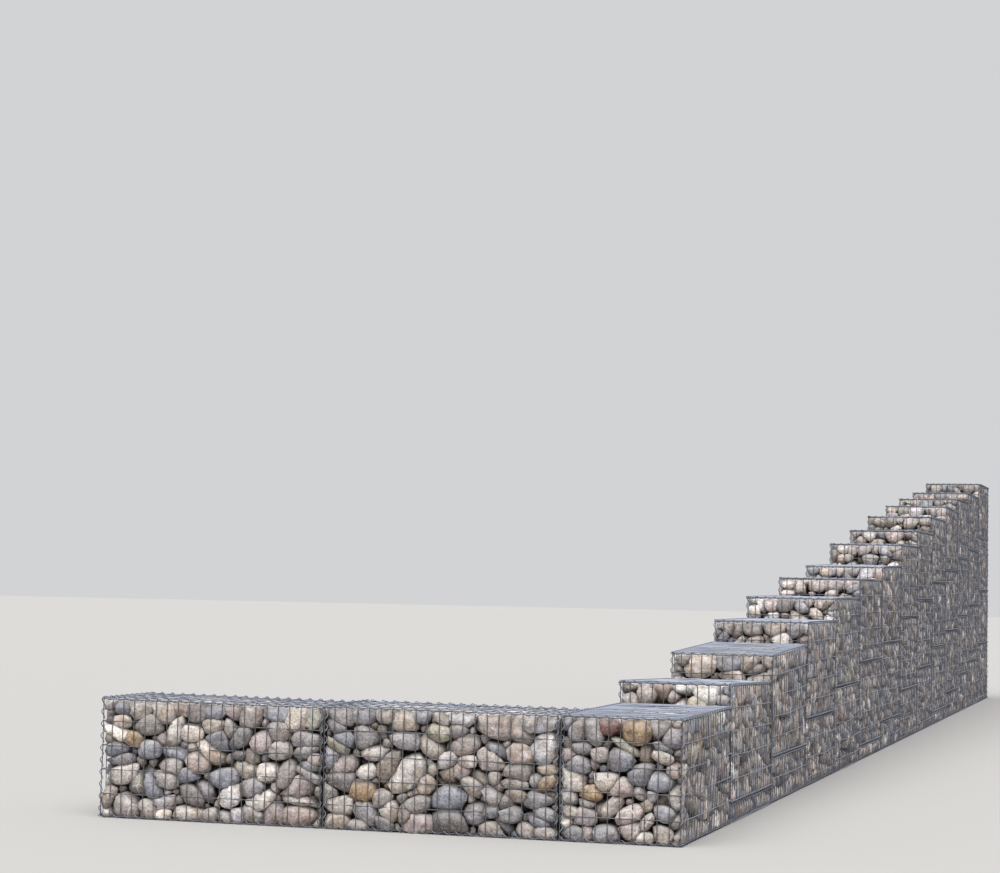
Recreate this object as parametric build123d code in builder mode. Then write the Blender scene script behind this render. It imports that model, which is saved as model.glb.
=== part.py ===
"""Stepped wall of wire-mesh baskets filled with river cobbles.

Two baskets and a corner basket stand in a short front wall. From the corner, thirteen more bays run back along
+Y, and each is topped by a basket that stands a little higher than the basket before it. The mesh of a bay goes on
down to the level ground, and under its top basket lies a lower compartment with stones of its own.

Each bay is one cage of welded mesh round one or two blocks of stones. The near panel of a bay also closes the bay
before it, and only the last bay has a far panel. The front baskets run in the same way, from the free end.

The origin is the middle of the wall's underside. +X is along the front wall, away from its free end, and +Y runs
back along the steps.
"""

import os
from math import ceil

from build123d import *

# Size of a basket
basket_length = 1000
basket_width = 500
basket_height = 500

# Welded mesh, by its main bars: a panel has a bar along each edge and at these spacings between, but none nearer
# to the bar on the ground than the clearance
wire = 4.5
bar_spacing = 250
level_spacing = 250
ground_clearance = 62.5

# Layout, with the rise of each bay over the bay before it, from the corner back
front_baskets = 2
rises = [85, 130, 130, 125, 115, 95, 160, 120, 135, 110, 115, 90, 135]

corner_right = (basket_width + front_baskets * basket_length) / 2
corner_left = corner_right - basket_width
front_face = -(1 + len(rises)) * basket_length / 2


def bars(start, end, spacing):
    """Centre lines of a panel's bars: one along each edge, and one every spacing from the start."""
    count = round((end - start) / spacing)
    inner = [start + number * spacing for number in range(1, count)]
    return [start + wire / 2, *inner, end - wire / 2]


def level_bars(top):
    """Centre lines of the bars round a bay, spaced down from its top, with one on the ground."""
    count = ceil((top - ground_clearance) / level_spacing)
    inner = [top - number * level_spacing for number in range(1, count)]
    return [top - wire / 2, *inner, wire / 2]


def make_cage(name, left, right, near, far, top, sides):
    """The mesh of one bay, with a lid, a near panel and the other sides that are named."""
    across_x = bars(left, right, bar_spacing)
    across_y = bars(near, far, bar_spacing)
    up = level_bars(top)
    facing_front = {"x_dir": (1, 0, 0), "z_dir": (0, -1, 0)}
    facing_right = {"x_dir": (0, 1, 0), "z_dir": (1, 0, 0)}
    panels = {
        "near": (Plane((0, near + wire, 0), **facing_front), across_x, up),
        "far": (Plane((0, far, 0), **facing_front), across_x, up),
        "left": (Plane((left, 0, 0), **facing_right), across_y, up),
        "right": (Plane((right - wire, 0, 0), **facing_right), across_y, up),
        "lid": (Plane.XY.offset(top - wire), across_x, across_y),
    }
    with BuildPart() as cage:
        for side in ("near", "lid", *sides):
            plane, across, along = panels[side]
            width = max(across) - min(across) + wire
            height = max(along) - min(along) + wire
            middle_across = (max(across) + min(across)) / 2
            middle_along = (max(along) + min(along)) / 2
            with BuildSketch(plane):
                with Locations(*[(place, middle_along) for place in across]):
                    Rectangle(wire, height)
                with Locations(*[(middle_across, place) for place in along]):
                    Rectangle(width, wire)
            extrude(amount=wire)
    cage.part.label = name
    export_step(cage.part, f"parts/{name}.step")


def make_stones(name, low, high):
    """A block of stones, from its low corner to its high corner."""
    with BuildPart() as block:
        with Locations(low):
            Box(*[b - a for a, b in zip(low, high)], align=(Align.MIN, Align.MIN, Align.MIN))
    block.part.label = name
    export_step(block.part, f"parts/{name}.step")


def make_front_basket(number):
    """A basket of the front wall, counted from the free end."""
    left = corner_left - (front_baskets + 1 - number) * basket_length
    right = left + basket_length
    far = front_face + basket_width
    make_cage(f"front_basket_{number}", left, right, front_face, far, basket_height, ("far", "left"))
    low = (left + wire, front_face + wire, 0)
    make_stones(f"front_stones_{number}", low, (right, far - wire, basket_height - wire))


def make_bay(number, cage_name, stones_name):
    """A bay of the run, counted from 0 at the corner. Its top basket is full height, over the lower stones."""
    near = front_face + number * basket_length
    far = near + basket_length
    top = basket_height + sum(rises[:number])
    floor = top - basket_height
    last = number == len(rises)
    sides = ("left", "right", "far") if last else ("left", "right")
    make_cage(cage_name, corner_left, corner_right, near, far, top, sides)
    stones_far = far - wire if last else far
    stones_left = corner_left + wire
    stones_right = corner_right - wire
    make_stones(stones_name, (stones_left, near + wire, floor), (stones_right, stones_far, top - wire))
    if floor > 0:
        make_stones(f"lower_stones_{number}", (stones_left, near + wire, 0), (stones_right, stones_far, floor))


os.makedirs("parts", exist_ok=True)
for front_number in range(1, front_baskets + 1):
    make_front_basket(front_number)
make_bay(0, "corner_basket", "corner_stones")
for step_number in range(1, len(rises) + 1):
    make_bay(step_number, f"step_basket_{step_number}", f"step_stones_{step_number}")
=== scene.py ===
"""Looks of a stepped wall of wire-mesh baskets filled with river cobbles.

Every basket gets its welded mesh wire by wire, its spiral binding wires, and its cobbles one by one. The
places of the baskets come from the frame. Lengths are in metres.
"""

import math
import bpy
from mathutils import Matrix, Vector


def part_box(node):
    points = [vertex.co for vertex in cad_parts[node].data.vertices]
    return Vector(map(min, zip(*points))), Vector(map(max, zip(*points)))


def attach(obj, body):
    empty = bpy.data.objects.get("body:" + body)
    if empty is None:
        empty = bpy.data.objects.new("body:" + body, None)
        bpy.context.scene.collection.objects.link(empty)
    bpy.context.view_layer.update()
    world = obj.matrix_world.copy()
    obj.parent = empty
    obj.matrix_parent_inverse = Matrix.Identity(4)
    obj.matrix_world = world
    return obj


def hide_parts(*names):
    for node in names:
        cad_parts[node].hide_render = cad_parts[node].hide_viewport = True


bl_info = {
    "name": "Gabion wall",
    "version": (1, 0, 0),
    "blender": (4, 5, 0),
    "location": "3D View > Sidebar > Gabion",
    "description": "Dresses a stepped gabion wall with its wires, binding spirals and cobbles",
    "category": "Object",
}

import bpy
import numpy as np
from bpy.props import FloatProperty, FloatVectorProperty, IntProperty, PointerProperty
from mathutils import Matrix, Vector

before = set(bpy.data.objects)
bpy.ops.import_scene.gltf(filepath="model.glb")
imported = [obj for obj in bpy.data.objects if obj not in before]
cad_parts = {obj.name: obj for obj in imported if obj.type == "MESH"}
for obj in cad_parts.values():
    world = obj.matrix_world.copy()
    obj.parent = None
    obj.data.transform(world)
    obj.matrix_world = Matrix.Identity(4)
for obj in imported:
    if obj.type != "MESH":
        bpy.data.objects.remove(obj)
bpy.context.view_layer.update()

BODY = "root"

# Stand-ins for no length at all and for an endless one
TINY = 1e-6
HUGE = 1e9


class MeshSettings(bpy.types.PropertyGroup):
    """Welded mesh and the spirals that bind it."""

    wire: FloatProperty(
        name="Wire", description="Thickness of a mesh wire", default=0.004, unit="LENGTH"
    )
    cell_width: FloatProperty(
        name="Cell width", description="Distance between upright wires", default=0.05, unit="LENGTH"
    )
    cell_height: FloatProperty(
        name="Cell height", description="Distance between level wires", default=0.1, unit="LENGTH"
    )
    edge_gap: FloatProperty(
        name="Edge gap",
        description="Distance from a basket's edge to its outermost wire",
        default=0.007,
        unit="LENGTH",
    )
    span: FloatProperty(
        name="Span", description="Longest straight bit of a bowed wire", default=0.11, unit="LENGTH"
    )
    bow: FloatProperty(
        name="Bow", description="How far wires usually bow out of line", default=0.003, unit="LENGTH"
    )
    spiral_pitch: FloatProperty(
        name="Spiral pitch",
        description="Length of one turn of a binding spiral",
        default=0.05,
        unit="LENGTH",
    )
    spiral_radius: FloatProperty(
        name="Spiral radius",
        description="Radius of a binding spiral, to its wire's middle",
        default=0.007,
        unit="LENGTH",
    )
    spiral_tuck: FloatProperty(
        name="Spiral tuck",
        description="Distance from a basket's side to a spiral's axis",
        default=0.0045,
        unit="LENGTH",
    )
    spiral_apart: FloatProperty(
        name="Spiral apart",
        description="The same, where two front baskets stand side by side",
        default=0.0105,
        unit="LENGTH",
    )
    spiral_wire: FloatProperty(
        name="Spiral wire", description="Thickness of a spiral's wire", default=0.004, unit="LENGTH"
    )
    zinc: FloatVectorProperty(
        name="Zinc",
        description="Colour of the galvanised wire",
        subtype="COLOR",
        default=(0.098, 0.094, 0.098),
    )
    # Pale blue on the wires: partly weathered zinc, partly painted sky sheen on lids, sides and spirals
    bloom_and_sheen: FloatVectorProperty(
        name="Bloom",
        description="Colour of weathered zinc on top",
        subtype="COLOR",
        default=(0.405, 0.455, 0.57),
    )


class CobbleSettings(bpy.types.PropertyGroup):
    """River cobbles, packed by hand with their long side level."""

    length: FloatProperty(name="Length", description="Usual length", default=0.208, unit="LENGTH")
    depth: FloatProperty(name="Depth", description="Usual width", default=0.105, unit="LENGTH")
    height: FloatProperty(name="Height", description="Usual height", default=0.0735, unit="LENGTH")
    spread: FloatProperty(name="Spread", description="How much sizes differ", default=0.26)
    tilt: FloatProperty(
        name="Tilt", description="How far cobbles usually lean", subtype="ANGLE", default=0.24
    )
    filling: FloatProperty(
        name="Filling", description="Volume of the cobbles' bodies against their basket", default=1.2
    )
    swell: FloatProperty(
        name="Swell", description="How far a cobble may outgrow its plain body", default=1.38
    )
    fit: FloatProperty(
        name="Fit",
        description="Share of its room that a cobble fills, before its corners are rounded",
        default=1.095,
    )
    inset: FloatProperty(
        name="Inset",
        description="Distance from a basket's sides to its cobbles",
        default=0.005,
        unit="LENGTH",
    )
    headroom: FloatProperty(
        name="Headroom",
        description="Distance from a basket's lid to its cobbles",
        default=0.012,
        unit="LENGTH",
    )
    drawn: FloatProperty(
        name="Drawn",
        description="Room to a side that can be seen, over which cobbles are laid against it",
        default=0.05,
        unit="LENGTH",
    )
    facet: FloatProperty(
        name="Facet", description="Nearest place of a worn facet, as a share of the body", default=0.69
    )
    rounding_low: FloatProperty(name="Round", description="Power of the roundest cobbles", default=6.0)
    rounding_high: FloatProperty(
        name="Blocky", description="Power of the blockiest cobbles", default=13.0
    )
    plug: FloatProperty(
        name="Plug",
        description="Half width of the smallest cobbles, which plug gaps",
        default=0.009,
        unit="LENGTH",
    )
    seed: IntProperty(name="Seed", description="Start of the random numbers", default=7)
    blue_grey: FloatVectorProperty(
        name="Blue grey",
        description="Colour of slaty cobbles",
        subtype="COLOR",
        default=(0.247, 0.254, 0.298),
    )
    grey: FloatVectorProperty(
        name="Grey",
        description="Colour of plain grey cobbles",
        subtype="COLOR",
        default=(0.288, 0.263, 0.25),
    )
    dark: FloatVectorProperty(
        name="Dark", description="Colour of dark cobbles", subtype="COLOR", default=(0.15, 0.14, 0.142)
    )
    beige: FloatVectorProperty(
        name="Beige", description="Colour of sandy cobbles", subtype="COLOR", default=(0.4, 0.35, 0.312)
    )
    cream: FloatVectorProperty(
        name="Cream",
        description="Colour of limestone cobbles",
        subtype="COLOR",
        default=(0.615, 0.575, 0.545),
    )
    rose: FloatVectorProperty(
        name="Rose",
        description="Colour of pinkish cobbles",
        subtype="COLOR",
        default=(0.383, 0.32, 0.312),
    )
    olive: FloatVectorProperty(
        name="Olive",
        description="Colour of greenish cobbles",
        subtype="COLOR",
        default=(0.3, 0.29, 0.235),
    )
    ochre: FloatVectorProperty(
        name="Ochre",
        description="Colour of rusty cobbles",
        subtype="COLOR",
        default=(0.34, 0.245, 0.155),
    )
    maroon: FloatVectorProperty(
        name="Maroon",
        description="Colour of dark red cobbles",
        subtype="COLOR",
        default=(0.2, 0.095, 0.085),
    )


class StageSettings(bpy.types.PropertyGroup):
    """Floor, light and camera."""

    floor_colour: FloatVectorProperty(
        name="Floor", description="Colour of the floor", subtype="COLOR", default=(0.43, 0.425, 0.415)
    )
    sky: FloatProperty(name="Sky", description="Strength of the light from all round", default=0.66)
    sun: FloatProperty(name="Sun", description="Strength of the soft light from above", default=3.7)
    camera_place: FloatVectorProperty(
        name="Camera",
        description="Place of the camera",
        subtype="TRANSLATION",
        default=(3.138, -15.744, 1.003),
    )
    yaw: FloatProperty(
        name="Yaw",
        description="Turn of the view from straight back",
        subtype="ANGLE",
        default=math.radians(-16.9),
    )
    pitch: FloatProperty(
        name="Pitch",
        description="Rise of the view over level",
        subtype="ANGLE",
        default=math.radians(3.75),
    )
    roll: FloatProperty(
        name="Roll", description="Tilt of the view", subtype="ANGLE", default=math.radians(1.08)
    )
    lens: FloatProperty(
        name="Lens", description="Focal length in millimetres on a 36 mm wide film", default=81.87
    )


# A side of a basket: its axis, and its end of that axis
SIDES = {"left": (0, 0), "near": (1, 0), "bottom": (2, 0), "right": (0, 1), "far": (1, 1), "top": (2, 1)}

# Least and greatest bulge of a side that can be seen
BULGES = (0.003, 0.016)
LID_BULGES = (0.003, 0.007)

# The slanting wave that makes a bulge uneven: its turns along the side's two edges and its start, at their
# least and greatest, and its height as a share of the bulge
RIPPLES = ((0.8, 0.8, 0), (2.2, 2.2, 6.3))
RIPPLE_SHARE = 0.6

# A compartment under a bay's top basket is at least this share of a basket high
LEAST_COMPARTMENT = 0.125

# How far a lid's far or right end is tipped up over its other end: the four that tip most, and the usual
# spread of the others
LIFTED_LIDS = {
    "step_basket_1": -0.025,
    "step_basket_2": 0.032,
    "step_basket_6": 0.02,
    "step_basket_10": -0.02,
}
LID_SPREAD = 0.006

# The farthest that a basket's top leans aside, and the first seed for tips and leans
TOP_LEAN = 0.01
LEAN_SEED = 100


class Room:
    """A basket's space, from its low to its high corner, and the sides of it that can be seen."""

    def __init__(self, stones, low, high, seen, seed):
        self.stones = stones
        self.low = np.array(low)
        self.high = np.array(high)
        self.seen = seen
        self.bulges = np.zeros((3, 2))
        rng = np.random.default_rng(seed)
        self.ripples = rng.uniform(*RIPPLES, (3, 2, 3))
        for side in sorted(seen):
            self.bulges[SIDES[side]] = rng.uniform(*(LID_BULGES if side == "top" else BULGES))

    def bulged(self, points):
        """The points with the sides that can be seen pressed out: most in a side's middle, none at its edges.

        A side's bulge is its own height times a half sine wave along each edge. A slanting sine wave makes it
        uneven, and it fades over a third of the room.
        """
        size = self.high - self.low
        share = np.clip((points - self.low) / size, 0, 1)
        wave = np.sin(np.pi * share)
        moved = points.copy()
        for axis in range(3):
            first, second = (axis + 1) % 3, (axis + 2) % 3
            hump = wave[..., first] * wave[..., second]
            for end in (0, 1):
                along_first, along_second, start = self.ripples[axis, end]
                slant = along_first * share[..., first] + along_second * share[..., second]
                uneven = 1 + RIPPLE_SHARE * np.sin(2 * np.pi * slant + start)
                reached = np.clip(3 * share[..., axis] - 2 if end else 1 - 3 * share[..., axis], 0, 1)
                moved[..., axis] += (2 * end - 1) * self.bulges[axis, end] * hump * uneven * reached
        return moved


def box(name):
    """Low and high corner of a node, as arrays."""
    low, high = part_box(name)
    return np.array(low), np.array(high)


def numbered(kind):
    """Names of the nodes of a kind, in the order of their numbers."""
    names = [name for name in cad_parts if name.startswith(kind)]
    return sorted(names, key=lambda name: int(name.rsplit("_", 1)[1]))


front_cages = numbered("front_basket")
run_cages = ["corner_basket", *numbered("step_basket")]
cages = [*front_cages, *run_cages]


def stones_of(cage):
    """Name of the node that holds the stones of a cage's top basket."""
    return cage.replace("basket", "stones")


def basket_height():
    """Height of one basket, which the corner basket shows."""
    low, high = box("corner_basket")
    return high[2] - low[2]


def rooms_of(cage):
    """The rooms of a bay, from its lid down: each is one basket high, and the lowest is what is left over.

    A left-over that is too low for a compartment is added to the room above it.
    """
    low, high = box(cage)
    height = basket_height()
    top = high[2]
    count = max(1, math.ceil((top - low[2]) / height - LEAST_COMPARTMENT))
    rooms = []
    for number in range(count):
        floor = low[2] if number == count - 1 else top - height
        first = number == 0
        stones = stones_of(cage) if first else cage.replace("step_basket", "lower_stones")
        seen = {"left", "right"}
        if first:
            seen |= {"top", "near"}
        if cage in front_cages:
            seen = {"top", "near", "far"} | ({"left"} if cage == front_cages[0] else set())
        if cage == run_cages[-1]:
            seen.add("far")
        seed = (cages.index(cage), number)
        rooms.append(Room(stones, (low[0], low[1], floor), (high[0], high[1], top), seen, seed))
        top = floor
    return rooms


def leaned(cage, points):
    """The points as a basket's uneven filling carries them: its lid tips along it, and its top leans aside.

    Both grow evenly from nothing at the floor of the bay's top basket to their whole size at its lid.
    """
    room = rooms_of(cage)[0]
    rng = np.random.default_rng(cages.index(cage) + LEAN_SEED)
    tip = LIFTED_LIDS.get(cage, rng.normal(0, LID_SPREAD))
    lean = rng.uniform(-TOP_LEAN, TOP_LEAN)
    size = room.high - room.low
    along = 0 if size[0] > size[1] else 1
    share = (points - room.low) / size
    up = np.clip(share[..., 2], 0, 1)
    moved = points.copy()
    moved[..., 2] += tip * (share[..., along] - 0.5) * up
    moved[..., 1 - along] += lean * up
    return moved


def new_piece(name, vertices, faces, material, smooth=True):
    """A mesh object from an array of vertices and arrays of faces, one array for each number of corners.

    Faces with more than four corners are the cut ends of wires: they stay flat, with sharp edges.
    """
    mesh = bpy.data.meshes.new(name)
    sizes = np.concatenate([np.full(len(group), group.shape[1]) for group in faces])
    cut_ends = sizes > 4
    corners = np.concatenate([group.ravel() for group in faces])
    mesh.vertices.add(len(vertices))
    mesh.vertices.foreach_set("co", np.asarray(vertices, dtype=np.float32).ravel())
    mesh.loops.add(len(corners))
    mesh.loops.foreach_set("vertex_index", corners.astype(np.int32))
    mesh.polygons.add(len(sizes))
    mesh.polygons.foreach_set("loop_start", (np.cumsum(sizes) - sizes).astype(np.int32))
    mesh.polygons.foreach_set("use_smooth", smooth & ~cut_ends)
    mesh.update(calc_edges=True)
    edge_of_corner = np.empty(len(corners), dtype=np.int32)
    mesh.loops.foreach_get("edge_index", edge_of_corner)
    sharp = np.zeros(len(mesh.edges), dtype=bool)
    sharp[edge_of_corner[np.repeat(cut_ends, sizes)]] = True
    mesh.edges.foreach_set("use_edge_sharp", sharp)
    mesh.validate()
    mesh.materials.append(material)
    piece = bpy.data.objects.new(name, mesh)
    bpy.context.scene.collection.objects.link(piece)
    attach(piece, BODY)
    return piece


def joined(parts):
    """One list of vertices and faces from several, with the faces counted on."""
    vertices = []
    faces = {}
    count = 0
    for points, groups in parts:
        vertices.append(points)
        for group in groups:
            faces.setdefault(group.shape[1], []).append(group + count)
        count += len(points)
    return np.concatenate(vertices), [np.concatenate(groups) for groups in faces.values()]


def tubes(lines, first, second, radius, sides):
    """Tubes along lines of points: at each point, a circle of the radius in the plane of its two directions.

    lines, first and second are arrays of tubes by points by 3. Flat ends close each tube.
    """
    turn = 2 * np.pi * np.arange(sides) / sides
    ring = np.cos(turn)[:, None] * first[:, :, None] + np.sin(turn)[:, None] * second[:, :, None]
    vertices = lines[:, :, None] + radius * ring
    index = np.arange(vertices[..., 0].size).reshape(vertices.shape[:3])
    beside = np.roll(index, -1, axis=2)
    quads = np.stack([index[:, :-1], beside[:, :-1], beside[:, 1:], index[:, 1:]], axis=-1)
    ends = np.concatenate([index[:, 0, ::-1], index[:, -1]])
    return vertices.reshape(-1, 3), [quads.reshape(-1, 4), ends]


# Corners round a wire and round a spiral, and bits that a turn of a spiral is made of
WIRE_CORNERS = 5
SPIRAL_CORNERS = 4
SPIRAL_BITS = 7

# Height of a wire's waves in the second of its two sideways directions, as a share of those in the first
SECOND_SWAY = 0.4

# Distance between the two layers of a panel's wires, as a share of a wire's thickness
LAYERS_APART = 0.9

# Cosine to the upright from which on a direction counts as upright
UPRIGHT = 0.9

# How much pale bloom the wires get, from 0 to 1: on near and far panels, on lids and sides, and in spirals.
# It is partly weathered zinc and partly painted sky sheen, which is why lids and sides get most
END_BLOOM_AND_SHEEN = 0.22
SIDE_BLOOM_AND_SHEEN = 0.95
SPIRAL_BLOOM_AND_SHEEN = 0.7


def crossways(direction):
    """Two unit directions at right angles to each given direction and to each other."""
    upright = np.abs(direction[:, 2:]) > UPRIGHT
    helper = np.where(upright, np.array([1.0, 0.0, 0.0]), np.array([0.0, 0.0, 1.0]))
    first = np.cross(direction, helper)
    first /= np.linalg.norm(first, axis=1, keepdims=True)
    return first, np.cross(direction, first)


def wire_lines(starts, ends, bow, rng, spans):
    """Points along wires from their starts to their ends, each with sideways waves of its own.

    The waves are half, whole and one and a half sine waves over the wire's length, of falling height.
    """
    direction = ends - starts
    direction /= np.linalg.norm(direction, axis=1, keepdims=True)
    first, second = crossways(direction)
    along = np.linspace(0, 1, spans + 1)[None, :, None]
    lines = starts[:, None] + (ends - starts)[:, None] * along
    for number in (1, 2, 3):
        sway = rng.normal(0, bow / number, (2, len(starts), 1))
        aside = sway[0] * first + SECOND_SWAY * sway[1] * second
        lines += aside[:, None] * np.sin(number * np.pi * along)
    spread = np.ones((1, spans + 1, 1))
    return lines, first[:, None] * spread, second[:, None] * spread


def spiral(start, end, radius, pitch, wire, phase):
    """A helix about the line from start to end: one turn each pitch, at the radius from the line."""
    start = np.array(start, dtype=float)
    run = np.array(end, dtype=float) - start
    length = np.linalg.norm(run)
    axis = run / length
    turns = length / pitch
    along = np.linspace(0, 1, max(3, round(turns * SPIRAL_BITS) + 1))[:, None]
    first, second = crossways(axis[None])
    angle = 2 * np.pi * (turns * along + phase)
    out = np.cos(angle) * first + np.sin(angle) * second
    tangent = 2 * np.pi * radius / pitch * (np.cos(angle) * second - np.sin(angle) * first) + axis
    tangent /= np.linalg.norm(tangent, axis=1, keepdims=True)
    line = start + run * along + radius * out
    return tubes(line[None], out[None], np.cross(tangent, out)[None], wire / 2, SPIRAL_CORNERS)


def wire_places(low, high, spacing, gap):
    """Centre lines of parallel wires: one at a gap inside each end, and one every spacing between."""
    count = max(1, round((high - low) / spacing))
    places = low + (high - low) * np.arange(count + 1) / count
    places[0] += gap
    places[-1] -= gap
    return places


def level_places(low, high, spacing, gap):
    """Centre lines of level wires, counted down from the top, with one at a gap over the bottom.

    The others are more than a third of the spacing over the bottom.
    """
    inner = high - spacing * np.arange(1, math.ceil((high - low) / spacing) + 1)
    inner = inner[inner > low + spacing / 3]
    return np.concatenate([[high - gap], inner, [low + gap]])


def crossing_wires(corner, first, second, out, places, wire, level_outside):
    """Ends of the uprights and level wires of one flat panel: two layers, one welded inside the other."""
    first_places, second_places = places
    lows = (first_places[0] - wire / 2, second_places[0] - wire / 2)
    highs = (first_places[-1] + wire / 2, second_places[-1] + wire / 2)
    outer = corner - out * wire / 2
    inner = outer - out * wire * LAYERS_APART
    upright_layer, level_layer = (inner, outer) if level_outside else (outer, inner)
    uprights = upright_layer + first_places[:, None] * first
    levels = level_layer + second_places[:, None] * second
    return (
        (uprights + lows[1] * second, uprights + highs[1] * second),
        (levels + lows[0] * first, levels + highs[0] * first),
    )


def panel_wires(room, side, settings):
    """Ends of the wires of one side of a room, or of its lid, whose close wires lie on top and across it."""
    gap = settings.edge_gap
    wide = [wire_places(room.low[axis], room.high[axis], settings.cell_width, gap) for axis in (0, 1)]
    up = level_places(room.low[2], room.high[2], settings.cell_height, gap)
    axis, end = SIDES[side]
    directions = np.eye(3)
    out = directions[axis] * (2 * end - 1)
    corner = directions[axis] * (room.low, room.high)[end][axis]
    if side == "top":
        long = int(np.argmax((room.high - room.low)[:2]))
        short = 1 - long
        apart = wire_places(room.low[short], room.high[short], settings.cell_height, gap)
        places = (wide[long], apart)
        return crossing_wires(corner, directions[long], directions[short], out, places, settings.wire, False)
    level = 1 - axis
    places = (wide[level], up)
    return crossing_wires(corner, directions[level], directions[2], out, places, settings.wire, axis == 0)


def edge_line(room, sides, inward):
    """The line where two sides of a room meet, drawn in from each by the distance that is given for it."""
    start = room.low.copy()
    end = room.high.copy()
    for side in sides:
        axis, stop = SIDES[side]
        start[axis] = end[axis] = (room.low, room.high)[stop][axis] + (1 - 2 * stop) * inward[side]
    return start, end


def bound_edges(cage, settings):
    """Lines that a spiral binds: the edges of a bay's sides that can be seen, drawn in from both sides.

    Side by side, the front's baskets have a spiral each. Elsewhere one spiral, on the line where they meet,
    ties a basket to the one under it and to the bay before it.
    """
    lines = []
    rooms = rooms_of(cage)
    for number, room in enumerate(rooms):
        inward = dict.fromkeys(SIDES, settings.spiral_tuck)
        if number:
            inward["top"] = inward["near"] = 0
        if cage in front_cages:
            inward["right"] = settings.spiral_apart
        if cage in (*front_cages[1:], run_cages[0]):
            inward["left"] = settings.spiral_apart
        pairs = [(side, "top") for side in sorted({"left", "right", *room.seen} - {"top"})]
        pairs += [(side, "near") for side in ("left", "right")]
        if "far" in room.seen:
            pairs += [(side, "far") for side in ("left", "right")]
        if number == len(rooms) - 1:
            pairs += [(side, "bottom") for side in sorted(room.seen - {"top"})]
        lines += [edge_line(room, sides, inward) for sides in pairs]
    return lines


# Cobbles in a basket: the fewest, how much one's own three lengths differ, how far its heading strays, and
# the share that stands on edge, with the least and greatest tilt of those
FEWEST_COBBLES = 4
LENGTH_SPREAD = 0.12
HEADING_SPREAD = 0.3
STOOD_SHARE = 0.11
STOOD_TILTS = (0.5, 1.2)
UNIT_BALL = 4 / 3 * np.pi


def cobble_bodies(extent, seen, settings, rng):
    """Bodies and first centres of the cobbles that fill a box: ellipsoids of mixed sizes, mostly laid level.

    A body is a matrix that turns a unit direction into a vector as long as the body's half width that way:
    the half lengths of its axes, turned by a turn about the upright, a tilt and a roll. The long side lies
    along the nearest side of the box that can be seen, as in a wall laid by hand.
    """
    usual = 0.5 * np.array([settings.length, settings.depth, settings.height])
    filled = settings.filling * float(np.prod(extent))
    count = max(FEWEST_COBBLES, round(filled / (UNIT_BALL * np.prod(usual))))
    own = rng.normal(0, settings.spread, (count, 1))
    halves = usual * np.exp(own + rng.normal(0, LENGTH_SPREAD, (count, 3)))
    halves *= (filled / (UNIT_BALL * np.sum(np.prod(halves, axis=1)))) ** (1 / 3)
    centres = rng.uniform(0, 1, (count, 3)) * extent
    nearest = np.full((2, count), np.inf)
    for side in sorted(seen - {"top"}):
        axis, end = SIDES[side]
        nearest[axis] = np.minimum(nearest[axis], np.abs(centres[:, axis] - end * extent[axis]))
    heading = np.where(nearest[0] < nearest[1], np.pi / 2, 0) + rng.normal(0, HEADING_SPREAD, count)
    stood = rng.uniform(size=count) < STOOD_SHARE
    steep = rng.choice([-1, 1], count) * rng.uniform(*STOOD_TILTS, count)
    tilt = np.where(stood, steep, rng.normal(0, settings.tilt, count))
    roll = rng.normal(0, settings.tilt, count)
    turn = turning(2, heading) @ turning(1, tilt) @ turning(0, roll)
    return np.einsum("nij,nj,nkj->nik", turn, halves, turn), centres


def turning(axis, angle):
    """Turning matrices about the x, y or z axis, one for each angle."""
    made = np.zeros((len(angle), 3, 3))
    first, second = (axis + 1) % 3, (axis + 2) % 3
    made[:, axis, axis] = 1
    made[:, first, first] = made[:, second, second] = np.cos(angle)
    made[:, first, second] = -np.sin(angle)
    made[:, second, first] = np.sin(angle)
    return made


def between(centres, bodies, count):
    """The nearest neighbours of each body: unit directions, distances, and both half widths that way."""
    apart = centres[None] - centres[:, None]
    distance = np.linalg.norm(apart, axis=2) + HUGE * np.eye(len(centres))
    count = min(count, len(centres) - 1)
    near = np.argpartition(distance, count - 1, axis=1)[:, :count]
    rows = np.arange(len(centres))[:, None]
    gap = distance[rows, near]
    toward = apart[rows, near] / gap[..., None]
    own = np.linalg.norm(np.einsum("nij,nkj->nki", bodies, toward), axis=2)
    other = np.linalg.norm(np.einsum("nkij,nkj->nki", bodies[near], toward), axis=2)
    return toward, gap, own, other


# Packing: how often the bodies are pushed, by how many neighbours each and by what share of their overlap,
# and what share of its way to a side that can be seen a body is drawn each time
PACKING_STEPS = 80
PUSHING_NEIGHBOURS = 16
PUSH = 0.35
DRAW = 0.2

# Distance of a body's middle from a wall: this share of its half width, and at most this share of the box
WALL_MARGIN = 0.88
MOST_MARGIN = 0.48


def settled(bodies, centres, extent, seen, drawn):
    """Centres of the bodies in a box: pushed apart while they overlap, and in from the walls.

    A body nearer than the drawn distance to a side that can be seen goes a part of the way to it each time.
    """
    margin = np.minimum(WALL_MARGIN * np.linalg.norm(bodies, axis=1), MOST_MARGIN * extent)
    for _ in range(PACKING_STEPS):
        toward, gap, own, other = between(centres, bodies, PUSHING_NEIGHBOURS)
        overlap = np.clip(own + other - gap, 0, None)
        centres = centres - PUSH * np.sum(toward * overlap[..., None], axis=1)
        for side in sorted(seen - {"top"}):
            axis, end = SIDES[side]
            spare = (extent - margin - centres if end else centres - margin)[:, axis]
            centres[:, axis] += (2 * end - 1) * DRAW * spare * (spare < drawn)
        centres = np.clip(centres, margin, extent - margin)
    return centres


# Strips and bands of a cobble's globe: in the fronts and the first bays, which are close to the camera, and
# elsewhere
CLOSE_BAYS = 4
CLOSE_GLOBE = (12, 7)
PLAIN_GLOBE = (9, 5)


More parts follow.
